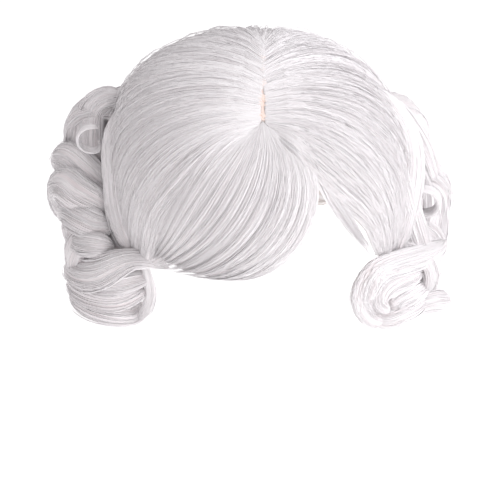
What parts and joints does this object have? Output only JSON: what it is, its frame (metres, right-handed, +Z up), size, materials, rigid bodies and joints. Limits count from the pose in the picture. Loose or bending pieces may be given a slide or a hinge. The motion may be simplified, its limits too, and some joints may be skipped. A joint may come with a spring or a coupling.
{
  "type": "curly wig",
  "caption": "Short white wig with a middle parting, a swept fringe and rolled curls at the sides and nape, held in its worn shape on a net cap.",
  "frame": {"origin": "inside of the cap at the crown, where the top of the head rests", "axes": "+Z up through the crown, -Y towards the wearer's face, +X to the right as seen from the front"},
  "size_m": [0.2552, 0.2367, 0.1648],
  "materials": {
    "white_hair": "silky fibre",
    "cap_net": "fine net",
    "scalp_skin": "matt skin tone"
  },
  "bodies": {
    "root": {"wig_cap": "cap_net", "scalp_strip": "scalp_skin", "crown_hair_left": "white_hair", "crown_hair_right": "white_hair", "back_hair": "white_hair", "fringe": "white_hair", "temple_lock": "white_hair", "curl_left_ringlet": "white_hair", "curl_left_upper": "white_hair", "curl_left_ear": "white_hair", "curl_left_middle": "white_hair", "curl_left_inner": "white_hair", "curl_left_cheek": "white_hair", "curl_left_jaw": "white_hair", "curl_right_ringlet": "white_hair", "curl_right_upper": "white_hair", "curl_right_middle": "white_hair", "curl_right_ear": "white_hair", "curl_right_inner": "white_hair", "curl_right_cheek": "white_hair", "curl_right_under": "white_hair", "curl_right_jaw": "white_hair", "curl_right_flip": "white_hair", "curl_nape_high_1": "white_hair", "curl_nape_high_2": "white_hair", "curl_nape_high_3": "white_hair", "curl_nape_high_4": "white_hair", "curl_nape_high_5": "white_hair", "curl_nape_high_6": "white_hair", "curl_nape_middle_1": "white_hair", "curl_nape_middle_2": "white_hair", "curl_nape_middle_3": "white_hair", "curl_nape_middle_4": "white_hair", "curl_nape_middle_5": "white_hair", "curl_nape_middle_6": "white_hair", "curl_nape_middle_7": "white_hair", "curl_nape_low_1": "white_hair", "curl_nape_low_2": "white_hair", "curl_nape_low_3": "white_hair", "curl_nape_low_4": "white_hair", "curl_nape_low_5": "white_hair", "curl_nape_low_6": "white_hair", "curl_nape_low_7": "white_hair", "curl_nape_low_8": "white_hair"}
  },
  "joints": []
}
